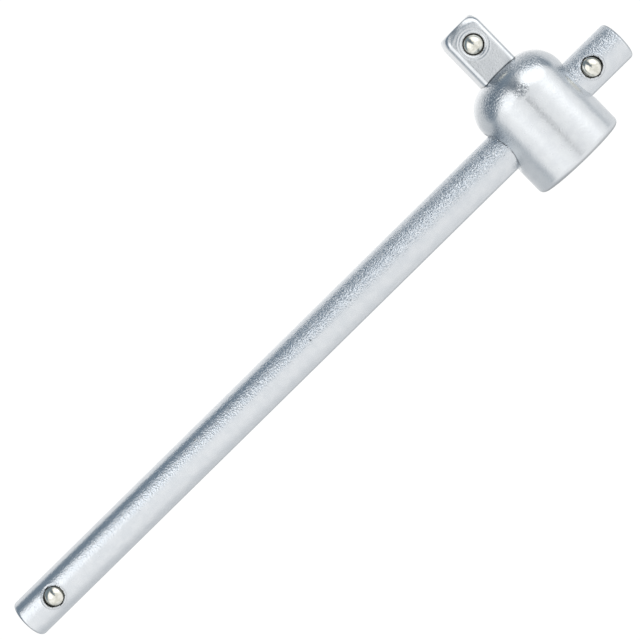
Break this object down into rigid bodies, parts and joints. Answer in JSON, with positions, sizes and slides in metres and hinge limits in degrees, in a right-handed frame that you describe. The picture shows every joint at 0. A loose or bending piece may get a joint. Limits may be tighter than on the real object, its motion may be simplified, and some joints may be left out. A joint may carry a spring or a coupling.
{
  "type": "sliding t-handle",
  "caption": "Sliding T-handle for square-drive sockets: a round bar with a spring-loaded detent ball near each end, carrying a domed head that slides and turns on it and ends in a drive square.",
  "frame": {"origin": "the middle of the bar's axis", "axes": "+X along the bar towards the end where the head is parked, +Y the way the drive square points, +Z out of the detent balls"},
  "size_m": [0.25, 0.0541, 0.031],
  "materials": {
    "satin_chrome": "satin chrome plate over forged steel, with a fine grain",
    "bar_chrome": "satin chrome plate over a turned steel bar, slightly speckled",
    "ball_steel": "polished bearing steel",
    "spring_steel": "drawn spring steel"
  },
  "bodies": {
    "bar": {"bar": "bar_chrome", "near_spring": "spring_steel", "far_spring": "spring_steel"},
    "ring": {"friction_ring": "spring_steel"},
    "head": {"head": "satin_chrome", "drive_spring": "spring_steel"},
    "near_ball": {"near_ball": "ball_steel"},
    "far_ball": {"far_ball": "ball_steel"},
    "drive_ball": {"drive_ball": "ball_steel"}
  },
  "joints": [
    {"name": "head_slide", "type": "slide", "parent": "bar", "child": "ring", "axis": [1, 0, 0], "range_m": [-0.1888, 0.0038]},
    {"name": "head_turn", "type": "hinge", "parent": "ring", "child": "head", "pos_m": [0.0925, 0, 0], "axis": [1, 0, 0], "continuous": true},
    {"name": "near_ball_press", "type": "slide", "parent": "bar", "child": "near_ball", "axis": [0, 0, 1], "range_m": [-0.0009, 0], "stiffness_N_per_m": 1500, "springref_m": 0.002, "deforming": ["near_spring"]},
    {"name": "far_ball_press", "type": "slide", "parent": "bar", "child": "far_ball", "axis": [0, 0, 1], "range_m": [-0.0009, 0], "stiffness_N_per_m": 1500, "springref_m": 0.002, "deforming": ["far_spring"]},
    {"name": "drive_ball_press", "type": "slide", "parent": "head", "child": "drive_ball", "axis": [0, 0, 1], "range_m": [-0.0014, 0], "stiffness_N_per_m": 1500, "springref_m": 0.002, "deforming": ["drive_spring"]}
  ]
}
